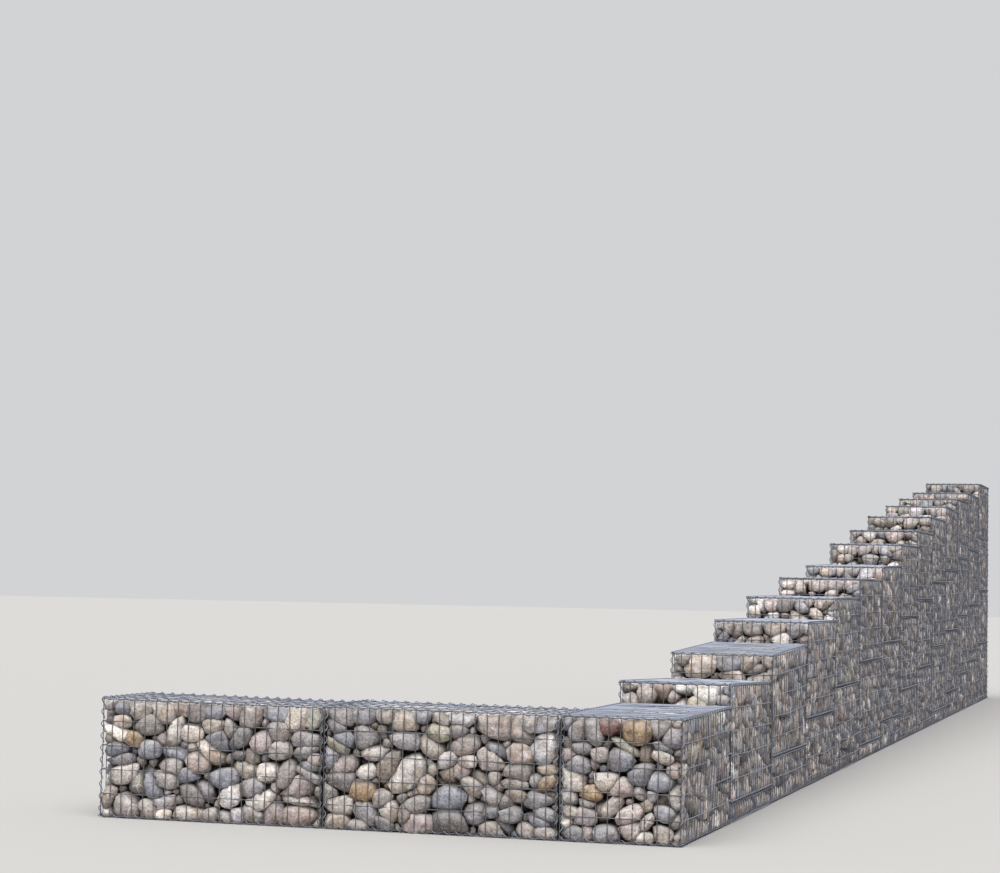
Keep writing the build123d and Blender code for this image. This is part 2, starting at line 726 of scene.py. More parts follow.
def sphere_grid(around, bands):
    """Unit directions of a globe of so many strips around and bands from pole to pole, and its faces."""
    polar = np.pi * np.arange(1, bands) / bands
    turn = 2 * np.pi * np.arange(around) / around
    ring = np.stack(
        [
            np.sin(polar)[:, None] * np.cos(turn),
            np.sin(polar)[:, None] * np.sin(turn),
            np.cos(polar)[:, None] * np.ones(around),
        ],
        axis=-1,
    )
    directions = np.concatenate([ring.reshape(-1, 3), [[0, 0, 1], [0, 0, -1]]])
    index = np.arange((bands - 1) * around).reshape(bands - 1, around)
    beside = np.roll(index, -1, axis=1)
    quads = np.stack([index[:-1], index[1:], beside[1:], beside[:-1]], axis=-1).reshape(-1, 4)
    top = np.full(around, index.size)
    upper = np.stack([top, index[0], beside[0]], axis=-1)
    lower = np.stack([top + 1, beside[-1], index[-1]], axis=-1)
    return directions, quads, np.concatenate([upper, lower])


# A cobble's surface: the neighbours that bound it, the share of its way to a wall that it fills, its worn
# facets, and the farthest that its grid of points is turned
BOUNDING_NEIGHBOURS = 26
WALL_SHARE = 0.98
FACETS = 7
MOST_TURN = 6

# Low waves over a surface: how many, the spread of their steepness, and their height on cobbles and on plugs
WAVES = 3
WAVE_SPREAD = 2.4
COBBLE_WAVE = 0.025
PLUG_WAVE = 0.04


def cobble_shapes(centres, bodies, extent, directions, rng, settings):
    """Surface points of the cobbles that share out a box: cobbles by directions by 3.

    Each cobble's room is bounded by a plane towards every neighbour, in proportion to their half widths, by
    the walls, by its own body a little enlarged, and by a few worn facets of its own. The reach in a
    direction is the p-norm blend of the distances to all of them, which rounds the corners off: the sum of
    (cosine / distance) ** p, to the power of -1 / p. Low waves over the surface make it uneven.
    """
    count = len(centres)
    toward, gap, own, other = between(centres, bodies, BOUNDING_NEIGHBOURS)
    planes = gap * own / (own + other)
    walls = np.concatenate([np.eye(3), -np.eye(3)])
    wall_planes = np.concatenate([extent - centres, centres], axis=1)
    turns = turning(2, rng.uniform(0, MOST_TURN, count)) @ turning(0, rng.uniform(0, MOST_TURN, count))
    turned = np.einsum("nij,dj->ndi", turns, directions)
    power = rng.uniform(settings.rounding_low, settings.rounding_high, (count, 1, 1))
    cosines = np.clip(np.einsum("ndi,nki->ndk", turned, toward), 0, None)
    wall_cosines = np.clip(np.einsum("ndi,ki->ndk", turned, walls), 0, None)
    total = np.sum((cosines / planes[:, None]) ** power, axis=2)
    total += np.sum((wall_cosines / (WALL_SHARE * wall_planes[:, None])) ** power, axis=2)
    facets = rng.normal(size=(count, FACETS, 3))
    facets /= np.linalg.norm(facets, axis=2, keepdims=True)
    facet_planes = np.linalg.norm(np.einsum("nij,nkj->nki", bodies, facets), axis=2)
    facet_planes *= settings.swell * rng.uniform(settings.facet, 1.0, facet_planes.shape)
    facet_cosines = np.clip(np.einsum("ndi,nki->ndk", turned, facets), 0, None)
    total += np.sum((facet_cosines / facet_planes[:, None]) ** power, axis=2)
    shrunk = np.einsum("nij,ndj->ndi", np.linalg.inv(bodies), turned)
    body_reach = settings.swell / np.linalg.norm(shrunk, axis=2)
    total += (1 / body_reach) ** power[..., 0]
    reach = settings.fit * total ** (-1 / power[..., 0])
    for _ in range(WAVES):
        wave = rng.normal(0, WAVE_SPREAD, (count, 3))
        start = rng.uniform(0, 2 * np.pi, (count, 1))
        reach *= 1 + COBBLE_WAVE * np.sin(np.einsum("ndi,ni->nd", turned, wave) + start)
    limit = np.min(wall_planes[:, None] / np.maximum(wall_cosines, TINY), axis=2)
    reach = np.minimum(reach, limit)
    return centres[:, None] + reach[..., None] * turned


# A spoke's weight in the clearance: the power of its cosine, and the least cosine
SPOKE_POWER = 40
LEAST_COSINE = 0.01


def clearance(places, centres, spokes):
    """Distance from each place to the nearest cobble's surface, below 0 inside a cobble.

    spokes are the vectors from a cobble's centre to its surface points. Its reach towards a place is the mean
    of their lengths, each weighted by a high power of the cosine between the spoke and the way to the place.
    """
    nearest = np.full(len(places), np.inf)
    for centre, spoke in zip(centres, spokes):
        length = np.linalg.norm(spoke, axis=1)
        apart = places - centre
        distance = np.linalg.norm(apart, axis=1) + TINY
        cosine = apart @ (spoke / length[:, None]).T / distance[:, None]
        weight = np.clip(cosine, LEAST_COSINE, None) ** SPOKE_POWER
        nearest = np.minimum(nearest, distance - weight @ length / weight.sum(axis=1))
    return nearest


def bared_from(cage):
    """Height over which a bay's near side can be seen: the ground, or the lid of the bay before it."""
    place = run_cages.index(cage) if cage in run_cages else 0
    return box(run_cages[place - 1])[1][2] if place else box(cage)[0][2]


# The middles of the plugs lie on a plane this far behind the near side. Cobbles that begin up to the second
# distance behind it are looked at, and a place has no gap if a cobble lies at the third distance before it
PLUG_PLANE = 0.042
PLUG_REACH = 0.07
PLUG_COVER = 0.022

# Places that are tried on the plane: the step between them, and their distance from the sides and floor and
# from the lid
PLUG_STEP = 0.009
PLUG_MARGIN = 0.012
PLUG_HEADROOM = 0.025

# The greatest half width of a plug, and as shares of its half width: how far off the next one starts, its
# first, least and greatest reach, and its last swelling
WIDEST_PLUG = 0.034
PLUGS_APART = 1.3
FIRST_PLUG_REACH = 0.9
LEAST_PLUG_REACH = 0.8
MOST_PLUG_REACH = 2
PLUG_SWELL = 1.06

# Growing of the plugs: how often, by what share of its clearance a reach grows, and the power of the blend
# that rounds it off
PLUG_GROWTHS = 5
PLUG_GROWTH = 0.8
PLUG_POWER = 4

# How far a plug's surface stays from the room's low corner and from its high one
PLUG_INSETS = (0.008, 0.012)


def plugs(room, floor, centres, points, directions, rng, settings):
    """Small cobbles that plug the gaps in a room's near side, over a floor: cobbles by directions by 3.

    A gap is where nothing stands between the side and the plane of the plugs. The widest gap is plugged
    first. A plug is as wide as its gap, and it swells in each direction until it meets a cobble or is twice
    as wide. Its reach is the p-norm blend of both, with low waves over it.
    """
    plane = room.low[1] + PLUG_PLANE
    outer = points[..., 1].min(axis=1) < plane + PLUG_REACH
    centres = centres[outer]
    spokes = points[outer] - centres[:, None]
    across = np.arange(room.low[0] + PLUG_MARGIN, room.high[0] - PLUG_MARGIN, PLUG_STEP)
    up = np.arange(floor + PLUG_MARGIN, room.high[2] - PLUG_HEADROOM, PLUG_STEP)
    places = np.stack([grid.ravel() for grid in np.meshgrid(across, plane, up)], axis=-1)
    spare = clearance(places, centres, spokes)
    spare[clearance(places - (0, PLUG_COVER, 0), centres, spokes) < 0] = 0
    middles = []
    widths = []
    while spare.max() > settings.plug:
        widest = np.argmax(spare)
        middles.append(places[widest])
        widths.append(min(spare[widest], WIDEST_PLUG))
        apart = np.linalg.norm(places - middles[-1], axis=1)
        spare = np.minimum(spare, apart - PLUGS_APART * widths[-1])
    if not middles:
        return np.zeros((0, len(directions), 3))
    middles = np.array(middles)[:, None]
    widths = np.array(widths)[:, None]
    most = MOST_PLUG_REACH * widths
    reach = FIRST_PLUG_REACH * widths * np.ones(len(directions))
    for _ in range(PLUG_GROWTHS):
        surface = middles + reach[..., None] * directions
        reach += PLUG_GROWTH * clearance(surface.reshape(-1, 3), centres, spokes).reshape(reach.shape)
        reach = np.clip(reach, LEAST_PLUG_REACH * widths, most)
    reach = PLUG_SWELL * (reach ** -PLUG_POWER + most ** -PLUG_POWER) ** (-1 / PLUG_POWER)
    for _ in range(WAVES):
        wave = rng.normal(0, WAVE_SPREAD, (len(middles), 3))
        start = rng.uniform(0, 2 * np.pi, (len(middles), 1))
        reach *= 1 + PLUG_WAVE * np.sin(np.einsum("di,ni->nd", directions, wave) + start)
    surface = middles + reach[..., None] * directions
    return np.clip(surface, room.low + PLUG_INSETS[0], room.high - PLUG_INSETS[1])


# How often each kind of stone comes. Up to half of one of the first five kinds is mixed into a cobble's own
KIND_SHARES = {
    "blue_grey": 0.25,
    "grey": 0.26,
    "beige": 0.15,
    "rose": 0.12,
    "cream": 0.14,
    "dark": 0.06,
    "olive": 0.04,
    "ochre": 0.008,
    "maroon": 0.002,
}
MIXING_KINDS = 5
MOST_MIXED = 0.5

# Mean and spread of the power of e that a cobble's colour is multiplied by, and the colour's limits
LIGHTENING = (-0.01, 0.19)
TONE_LIMITS = (0.02, 0.85)

# Share of the cobbles with veins, how strong these are, and how far a cobble's pattern is shifted at most
VEINED_SHARE = 0.08
VEIN_STRENGTH = 0.5
PATTERN_REACH = 40

# Cobbles that stand out by their colour: their stones, how far they are along the width and up the height as
# shares of it, and their kind. Their middle is looked for at this depth
MARKED_COBBLES = (
    ("front_stones_1", 0.18, 0.64, "ochre"),
    ("front_stones_2", 0.155, 0.4, "ochre"),
    ("corner_stones", 0.34, 0.87, "maroon"),
    ("corner_stones", 0.52, 0.88, "ochre"),
)
MARK_DEPTH = 0.04

# Risers whose near cobbles are lightened as painted light, for the brighter look of riser faces that face the
# camera: what their colour is multiplied by, its limit, and how far behind the near side such a cobble's
# middle lies at most
LIT_RISERS = {
    "step_stones_1": 1.8,
    "step_stones_4": 1.95,
    "step_stones_5": 1.8,
    "step_stones_6": 1.45,
    "step_stones_7": 1.5,
    "step_stones_8": 1.2,
    "step_stones_10": 1.6,
    "step_stones_12": 1.5,
}
LIT_RISER_LIMIT = 0.9
RISER_DEPTH = 0.1


def cobble_tones(count, rng, settings):
    """A colour for each cobble: one of the kinds, mixed with a second and made a little lighter or darker."""
    kinds = np.array([getattr(settings, name)[:] for name in KIND_SHARES])
    chances = np.array(list(KIND_SHARES.values()))
    first = kinds[rng.choice(len(kinds), count, p=chances / chances.sum())]
    second = kinds[rng.integers(0, MIXING_KINDS, count)]
    blend = rng.uniform(0, MOST_MIXED, (count, 1))
    tones = (first * (1 - blend) + second * blend) * np.exp(rng.normal(*LIGHTENING, (count, 1)))
    return np.clip(tones, *TONE_LIMITS)


def cobble_finish(count, rng, settings):
    """A tone for each cobble, with its veins' strength as fourth number, and its place in the pattern."""
    tones = cobble_tones(count, rng, settings)
    veined = VEIN_STRENGTH * (rng.uniform(size=(count, 1)) < VEINED_SHARE)
    return np.hstack([tones, veined]), rng.uniform(0, PATTERN_REACH, (count, 3))


def mark_cobbles(room, points, tones, settings):
    """Gives the marked cobbles their colour: in each case the cobble that is nearest to the place."""
    middles = points.mean(axis=1)
    size = room.high - room.low
    for stones, along, up, kind in MARKED_COBBLES:
        if stones == room.stones:
            place = room.low + size * (along, 0, up) + (0, MARK_DEPTH, 0)
            tones[np.argmin(np.linalg.norm(middles - place, axis=1)), :3] = getattr(settings, kind)[:]


def colour_layer(mesh, name, values):
    """Writes a colour for each vertex into a named attribute."""
    layer = mesh.attributes.new(name, "FLOAT_COLOR", "POINT")
    layer.data.foreach_set("color", np.asarray(values, dtype=np.float32).ravel())


def value_layer(mesh, name, values):
    """Writes a number for each vertex into a named attribute."""
    layer = mesh.attributes.new(name, "FLOAT", "POINT")
    layer.data.foreach_set("value", np.asarray(values, dtype=np.float32))


# A cobble is made if it comes nearer than this to a side that can be seen
SEEN_REACH = 0.038


def seen_cobbles(points, room):
    """Which cobbles can be seen, as they come near enough to a side of the room that can be seen."""
    low = points.min(axis=1)
    high = points.max(axis=1)
    kept = np.zeros(len(points), dtype=bool)
    for side in room.seen:
        axis, end = SIDES[side]
        if end:
            kept |= high[:, axis] > room.high[axis] - SEEN_REACH
        else:
            kept |= low[:, axis] < room.low[axis] + SEEN_REACH
    return kept


def depths(points, room):
    """How far each point lies behind the nearest side of the room that can be seen."""
    ends = (room.low, room.high)
    sides = [SIDES[side] for side in sorted(room.seen)]
    return np.min([np.abs(points[..., axis] - ends[end][axis]) for axis, end in sides], axis=0)


def room_cobbles(cage, room, directions, rng, small_rng, settings):
    """The cobbles of a room that can be seen, and their plugs: points, tones and places in the pattern.

    The plugs draw from random numbers of their own.
    """
    low = room.low + (settings.inset, settings.inset, 0)
    high = room.high - (settings.inset, settings.inset, settings.headroom)
    bodies, centres = cobble_bodies(high - low, room.seen, settings, rng)
    centres = settled(bodies, centres, high - low, room.seen, settings.drawn)
    packed = low + cobble_shapes(centres, bodies, high - low, directions, rng, settings)
    points = room.bulged(packed[seen_cobbles(packed, room)])
    tones, shifts = cobble_finish(len(points), rng, settings)
    mark_cobbles(room, points, tones, settings)
    if "near" in room.seen:
        small = plugs(room, bared_from(cage), low + centres, packed, directions, small_rng, settings)
        small_tones, small_shifts = cobble_finish(len(small), small_rng, settings)
        points = np.concatenate([points, room.bulged(small)])
        tones = np.concatenate([tones, small_tones])
        shifts = np.concatenate([shifts, small_shifts])
    # Painted light: on the listed risers, cobbles whose middle lies close to the near side are lightened
    in_riser = points.mean(axis=1)[:, 1] < room.low[1] + RISER_DEPTH
    painted_lighter = tones[in_riser, :3] * LIT_RISERS.get(room.stones, 1)
    tones[in_riser, :3] = np.minimum(painted_lighter, LIT_RISER_LIMIT)
    return points, tones, shifts


def shader(name):
    """A new material, with its node tree and its Principled shader."""
    material = bpy.data.materials.new(name)
    material.use_nodes = True
    tree = material.node_tree
    return material, tree, tree.nodes["Principled BSDF"]


def feed(tree, entry, value):
    """Links a socket to an input, or sets the input to a value."""
    if isinstance(value, bpy.types.NodeSocket):
        tree.links.new(value, entry)
    else:
        entry.default_value = value


def node(tree, kind, inputs=(), **values):
    """A shader node with its values and inputs set. An input is a value, or a socket to link."""
    made = tree.nodes.new(kind)
    for key, value in values.items():
        setattr(made, key, value)
    for key, value in dict(inputs).items():
        feed(tree, made.inputs[key], value)
    return made


def maths(tree, operation, *values):
    """The result of a sum, product or the like of some values."""
    return node(tree, "ShaderNodeMath", dict(enumerate(values)), operation=operation).outputs[0]


def ramp(tree, factor, low, high, first=0.0, last=1.0):
    """A value that goes from first to last while the factor goes from low to high."""
    inputs = {"Value": factor, "From Min": low, "From Max": high, "To Min": first, "To Max": last}
    return node(tree, "ShaderNodeMapRange", inputs).outputs["Result"]


def noise(tree, place, scale, detail, **inputs):
    """A cloudy pattern, as values about one half."""
    inputs = {"Vector": place, "Scale": scale, "Detail": detail, **inputs}
    return node(tree, "ShaderNodeTexNoise", inputs).outputs["Fac"]


def mixed(tree, factor, first, second, blend="MIX"):
    """The colour between two others, or their blend."""
    made = node(tree, "ShaderNodeMix", data_type="RGBA", blend_type=blend)
    for number, value in ((0, factor), (6, first), (7, second)):
        feed(tree, made.inputs[number], value)
    return made.outputs[2]


def shaded(tree, colour, factor, ends, low, high):
    """The colour times a shade, which goes from low to high while the factor goes between its ends."""
    shade = mixed(tree, ramp(tree, factor, *ends), (*low, 1), (*high, 1))
    return mixed(tree, 1.0, colour, shade, "MULTIPLY")


def lightened(colour, times):
    """The colour multiplied by a number, and at most white."""
    return (*(min(1.0, times * value) for value in colour), 1)


def bumped(tree, principled, height, strength, distance):
    """Gives the surface the look of a relief. A height of 1 stands out by the distance."""
    bump = node(tree, "ShaderNodeBump", {"Height": height, "Strength": strength, "Distance": distance})
    tree.links.new(bump.outputs["Normal"], principled.inputs["Normal"])


def dust_and_sheen_group():
    """Group that lays a pale coat on a colour where the surface faces up and in patches: real dust on the
    cobbles, and on the wires partly weathered bloom and partly painted sky sheen.
    """
    name = "Settled dust"
    if name in bpy.data.node_groups:
        return bpy.data.node_groups[name]
    tree = bpy.data.node_groups.new(name, "ShaderNodeTree")
    tree.interface.new_socket("Colour", in_out="INPUT", socket_type="NodeSocketColor")
    tree.interface.new_socket("Dust", in_out="INPUT", socket_type="NodeSocketColor")
    tree.interface.new_socket("Amount", in_out="INPUT", socket_type="NodeSocketFloat")
    tree.interface.new_socket("Patchiness", in_out="INPUT", socket_type="NodeSocketFloat")
    tree.interface.new_socket("Colour", in_out="OUTPUT", socket_type="NodeSocketColor")
    given = tree.nodes.new("NodeGroupInput")
    result = tree.nodes.new("NodeGroupOutput")
    normal = node(tree, "ShaderNodeNewGeometry").outputs["Normal"]
    up = node(tree, "ShaderNodeSeparateXYZ", {"Vector": normal}).outputs["Z"]
    place = node(tree, "ShaderNodeTexCoord").outputs["Object"]
    patches = noise(tree, place, 14.0, 6.0)
    facing = ramp(tree, up, 0.0, 0.8)
    lowest = maths(tree, "SUBTRACT", 1.0, given.outputs["Patchiness"])
    patchy = ramp(tree, patches, 0.35, 0.65, lowest, 1.0)
    amount = maths(tree, "MULTIPLY", maths(tree, "MULTIPLY", facing, patchy), given.outputs["Amount"])
    colour = mixed(tree, amount, given.outputs["Colour"], given.outputs["Dust"])
    tree.links.new(colour, result.inputs["Colour"])
    return tree


def dusted_and_sheened(tree, colour, dust, amount, patchiness):
    """The colour with the pale coat on it: dust on cobbles, bloom with painted sky sheen on wires. The amount
    is a number, or a socket to link.
    """
    made = tree.nodes.new("ShaderNodeGroup")
    made.node_tree = dust_and_sheen_group()
    values = {"Colour": colour, "Dust": dust, "Amount": amount, "Patchiness": patchiness}
    for name, value in values.items():
        feed(tree, made.inputs[name], value)
    return made.outputs["Colour"]


def cobble_material():
    """Water-worn stone: its own tone, with clouds, stains, bedding, lumps, flecks, veins and dust, darkened
    with depth behind the seen side as painted shade.
    """
    name = "River cobble"
    if name in bpy.data.materials:
        return bpy.data.materials[name]
    material, tree, principled = shader(name)
    dark_fleck = (0.09, 0.085, 0.08, 1)
    pale_fleck = (0.8, 0.79, 0.77, 1)
    quartz = (0.74, 0.72, 0.7, 1)
    stone_dust = (0.72, 0.7, 0.67, 1)
    tone = node(tree, "ShaderNodeAttribute", attribute_name="tone").outputs
    shift = node(tree, "ShaderNodeAttribute", attribute_name="shift").outputs["Vector"]
    depth = node(tree, "ShaderNodeAttribute", attribute_name="depth").outputs["Fac"]
    place = node(tree, "ShaderNodeTexCoord").outputs["Object"]
    own = node(tree, "ShaderNodeVectorMath", {0: place, 1: shift}, operation="ADD").outputs[0]
    layers = {"Vector": own, "Rotation": (0.5, 0.3, 0.0), "Scale": (6.0, 6.0, 70.0)}
    clouds = noise(tree, own, 22.0, 6.0, Roughness=0.65)
    stains = noise(tree, own, 9.0, 4.0, Distortion=1.2)
    bedding = noise(tree, node(tree, "ShaderNodeMapping", layers).outputs[0], 1.0, 4.0)
    lumps = noise(tree, own, 85.0, 4.0, Roughness=0.6)
    specks = noise(tree, own, 280.0, 2.0, Roughness=0.7)
    veins = node(tree, "ShaderNodeTexVoronoi", {"Vector": own, "Scale": 9.0}, feature="DISTANCE_TO_EDGE")
    colour = shaded(tree, tone["Color"], clouds, (0.32, 0.68), (0.62, 0.62, 0.64), (1.36, 1.34, 1.31))
    colour = shaded(tree, colour, stains, (0.52, 0.6), (1, 1, 1), (0.78, 0.71, 0.64))
    colour = shaded(tree, colour, bedding, (0.35, 0.65), (0.84, 0.84, 0.84), (1.12, 1.12, 1.12))
    colour = shaded(tree, colour, lumps, (0.35, 0.65), (0.7, 0.69, 0.69), (1.3, 1.3, 1.3))
    colour = mixed(tree, ramp(tree, specks, 0.42, 0.3), colour, dark_fleck)
    colour = mixed(tree, ramp(tree, specks, 0.6, 0.75), colour, pale_fleck)
    vein = maths(tree, "MULTIPLY", ramp(tree, veins.outputs["Distance"], 0.035, 0.01), tone["Alpha"])
    colour = mixed(tree, vein, colour, quartz)
    colour = dusted_and_sheened(tree, colour, stone_dust, 0.42, 0.7)
    # Painted shade between the cobbles: from 9 mm to 4 cm behind the seen side the colour darkens to about a
    # third, and right at the side it is a little lighter
    colour = shaded(tree, colour, depth, (0.009, 0.04), (1.06, 1.06, 1.06), (0.34, 0.325, 0.315))
    feed(tree, principled.inputs["Base Color"], colour)
    feed(tree, principled.inputs["Roughness"], ramp(tree, clouds, 0.0, 1.0, 0.62, 0.92))
    coarse = maths(tree, "MULTIPLY_ADD", clouds, 2.6, lumps)
    height = maths(tree, "MULTIPLY_ADD", specks, 0.35, coarse)
    bumped(tree, principled, height, 0.9, 0.005)
    feed(tree, principled.inputs["Specular IOR Level"], 0.35)
    return material


def zinc_material(settings):
    """Galvanised wire gone dull: mottled zinc with stains, mixed towards a pale blue that is partly weathered
    bloom and partly painted sky sheen, more of it where the wire faces up.
    """
    name = "Galvanised wire"
    if name in bpy.data.materials:
        return bpy.data.materials[name]
    material, tree, principled = shader(name)
    place = node(tree, "ShaderNodeTexCoord").outputs["Object"]
    mottle = noise(tree, place, 70.0, 4.0, Roughness=0.65)
    stains = noise(tree, place, 6.0, 5.0, Roughness=0.6)
    weather = node(tree, "ShaderNodeAttribute", attribute_name="weather").outputs["Fac"]
    dull = lightened(settings.zinc, 0.62)
    bright = lightened(settings.zinc, 1.4)
    dull_bloom_and_sheen = lightened(settings.bloom_and_sheen, 0.62)
    colour = mixed(tree, ramp(tree, mottle, 0.33, 0.67), dull, bright)
    colour = shaded(tree, colour, stains, (0.45, 0.7), (1, 1, 1), (0.62, 0.6, 0.58))
    # Painted sky sheen, partly weathered bloom: the wire is mixed towards pale blue by its amount, and more
    # where it faces up
    colour = mixed(tree, maths(tree, "MULTIPLY", weather, 0.42), colour, dull_bloom_and_sheen)
    colour = dusted_and_sheened(tree, colour, (*settings.bloom_and_sheen, 1), weather, 0.25)
    feed(tree, principled.inputs["Base Color"], colour)
    feed(tree, principled.inputs["Roughness"], ramp(tree, mottle, 0.0, 1.0, 0.38, 0.66))
    feed(tree, principled.inputs["Metallic"], 0.35)
    bumped(tree, principled, mottle, 0.3, 0.0006)
    return material


def shaded_hearting_material():
    """Small rubble in the middle of the baskets, kept very dark as painted shade in the gaps between the
    cobbles: round cells of different greys with deep joints.
    """
    name = "Hearting"
    if name in bpy.data.materials:
        return bpy.data.materials[name]
    material, tree, principled = shader(name)
    place = node(tree, "ShaderNodeTexCoord").outputs["Object"]
    cells = node(tree, "ShaderNodeTexVoronoi", {"Vector": place, "Scale": 18.0})
    edges = node(tree, "ShaderNodeTexVoronoi", {"Vector": place, "Scale": 18.0}, feature="DISTANCE_TO_EDGE")
    grey = node(tree, "ShaderNodeSeparateColor", {"Color": cells.outputs["Color"]}).outputs["Red"]
    # Painted shade: very dark greys, so that the gaps between the cobbles look shaded
    colour = mixed(tree, grey, (0.05, 0.05, 0.055, 1), (0.16, 0.15, 0.135, 1))
    depth = ramp(tree, edges.outputs["Distance"], 0.0, 0.3)
    colour = mixed(tree, depth, (0.015, 0.014, 0.013, 1), colour)
    feed(tree, principled.inputs["Base Color"], colour)
    feed(tree, principled.inputs["Roughness"], 0.95)
    bumped(tree, principled, depth, 1.0, 0.02)
    return material


class GABION_OT_cobbles(bpy.types.Operator):
    """Fill every basket with cobbles"""

    bl_idname = "gabion.cobbles"
    bl_label = "Cobbles"

    def execute(self, context):
        settings = context.scene.gabion_cobbles
        rng = np.random.default_rng(settings.seed)
        material = cobble_material()
        close_globe = sphere_grid(*CLOSE_GLOBE)
        plain_globe = sphere_grid(*PLAIN_GLOBE)
        close = {stones_of(cage) for cage in [*front_cages, *run_cages[:CLOSE_BAYS]]}
        parts = {}
        for cage in cages:
            for room in rooms_of(cage):
                directions, quads, caps = close_globe if room.stones in close else plain_globe
                small_rng = np.random.default_rng(len(parts))
                points, tones, shifts = room_cobbles(cage, room, directions, rng, small_rng, settings)
                first = len(directions) * np.arange(len(points))[:, None, None]
                faces = [(quads + first).reshape(-1, 4), (caps + first).reshape(-1, 3)]
                tones = np.repeat(tones, len(directions), axis=0)
                shifts = np.repeat(shifts, len(directions), axis=0)
                # How far behind the seen side each point lies, which the material turns into painted shade
                depth = depths(points, room).ravel()
                vertices = leaned(cage, points).reshape(-1, 3)
                parts.setdefault(room.stones, []).append((vertices, faces, tones, shifts, depth))
        for stones, groups in parts.items():
            vertices, faces = joined([group[:2] for group in groups])
            piece = new_piece(stones.replace("stones", "cobbles"), vertices, faces, material)
            tones, shifts, depth = (np.concatenate(values) for values in list(zip(*groups))[2:])
            colour_layer(piece.data, "tone", tones)
            colour_layer(piece.data, "shift", np.hstack([shifts, np.ones((len(vertices), 1))]))
            value_layer(piece.data, "depth", depth)
            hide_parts(stones)
        return {"FINISHED"}


# How far the hearting stays behind the baskets' sides and lids, and over the ground
HEARTING_DEPTH = 0.07
HEARTING_LIFT = 0.01


class GABION_OT_hearting(bpy.types.Operator):
    """Fill the middle of the wall with small rubble behind the cobbles that can be seen, dark as painted
    shade in their gaps
    """

    bl_idname = "gabion.hearting"
    bl_label = "Hearting"

    def execute(self, context):
        depth = HEARTING_DEPTH
        material = shaded_hearting_material()
        outline = []
        for cage in run_cages:
            low, high = box(cage)
            far = high[1] - depth if cage == run_cages[-1] else high[1] + depth
            outline += [(low[1] + depth, high[2] - depth), (far, high[2] - depth)]
        low, high = box(run_cages[0])
        outline = [(low[1] + depth, HEARTING_LIFT), *outline, (outline[-1][0], HEARTING_LIFT)]
        count = len(outline)
        vertices = [(x, y, z) for x in (low[0] + depth, high[0] - depth) for y, z in outline]
        index = np.arange(count)
        beside = np.roll(index, -1)
        bands = np.stack([index, beside, beside + count, index + count], axis=-1)
        sides = np.stack([index[::-1], index + count])
        new_piece("run_hearting", np.array(vertices), [bands, sides], material, smooth=False)
        low = box(front_cages[0])[0] + depth
        high = box(front_cages[-1])[1] - depth
        low[2] = HEARTING_LIFT
        high[0] += depth
        corners = [(x, y, z) for z in (low[2], high[2]) for y in (low[1], high[1]) for x in (low[0], high[0])]
        quads = [(0, 2, 3, 1), (4, 5, 7, 6), (0, 1, 5, 4), (1, 3, 7, 5), (3, 2, 6, 7), (2, 0, 4, 6)]
        new_piece("front_hearting", np.array(corners), [np.array(quads)], material, smooth=False)
        return {"FINISHED"}


class GABION_OT_mesh(bpy.types.Operator):
    """Weave the welded mesh of every basket"""

    bl_idname = "gabion.mesh"
    bl_label = "Welded mesh"

    def execute(self, context):
        settings = context.scene.gabion_mesh
        rng = np.random.default_rng(context.scene.gabion_cobbles.seed + 1)
        material = zinc_material(settings)
        for cage in cages:
            panels = []
            weather = []
            for room in rooms_of(cage):
                for side in sorted(room.seen):
                    # Painted sky sheen, partly weathered bloom: little on near and far panels, much on lids
                    # and sides
                    bloom_and_sheen_amount = END_BLOOM_AND_SHEEN if side in ("near", "far") else SIDE_BLOOM_AND_SHEEN
                    for starts, ends in panel_wires(room, side, settings):
                        spans = max(2, math.ceil(np.linalg.norm(ends[0] - starts[0]) / settings.span))
                        lines, first, second = wire_lines(starts, ends, settings.bow, rng, spans)
                        lines = leaned(cage, room.bulged(lines))
                        panels.append(tubes(lines, first, second, settings.wire / 2, WIRE_CORNERS))
                        weather.append(np.full(len(panels[-1][0]), bloom_and_sheen_amount))
            vertices, faces = joined(panels)
            piece = new_piece(cage.replace("basket", "wires"), vertices, faces, material)
            value_layer(piece.data, "weather", np.concatenate(weather))
            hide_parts(cage)
        return {"FINISHED"}


class GABION_OT_spirals(bpy.types.Operator):
    """Bind the edges of the baskets with spirals of wire"""

    bl_idname = "gabion.spirals"
    bl_label = "Binding spirals"

    def execute(self, context):
        settings = context.scene.gabion_mesh
        rng = np.random.default_rng(context.scene.gabion_cobbles.seed + 2)
        material = zinc_material(settings)
        radius = settings.spiral_radius
        pitch = settings.spiral_pitch
        lift = radius + settings.spiral_wire / 2
        for cage in cages:
            turns = []
            for start, end in bound_edges(cage, settings):
                start[2] = max(start[2], lift)
                end[2] = max(end[2], lift)
                points, groups = spiral(start, end, radius, pitch, settings.spiral_wire, rng.uniform())
                turns.append((leaned(cage, points), groups))
            vertices, faces = joined(turns)
            piece = new_piece(cage.replace("basket", "spirals"), vertices, faces, material)
            # Spirals get painted sheen, partly weathered bloom, as the other wires do
            value_layer(piece.data, "weather", np.full(len(vertices), SPIRAL_BLOOM_AND_SHEEN))
        return {"FINISHED"}


# Half the floor's width, and the farthest that the camera sees
FLOOR_REACH = 90.0
SIGHT = 300

# How wide the sun looks, which makes its light soft, the way to it, and the tints of its light and the sky's
SUN_WIDTH = math.radians(75)
SUN_WAY = (0.1, -0.76, 1.2)
SUN_TINT = (1.0, 0.985, 0.97)
SKY_TINT = (0.98, 0.985, 1.0, 1)

# Width of the film, in millimetres
FILM_WIDTH = 36


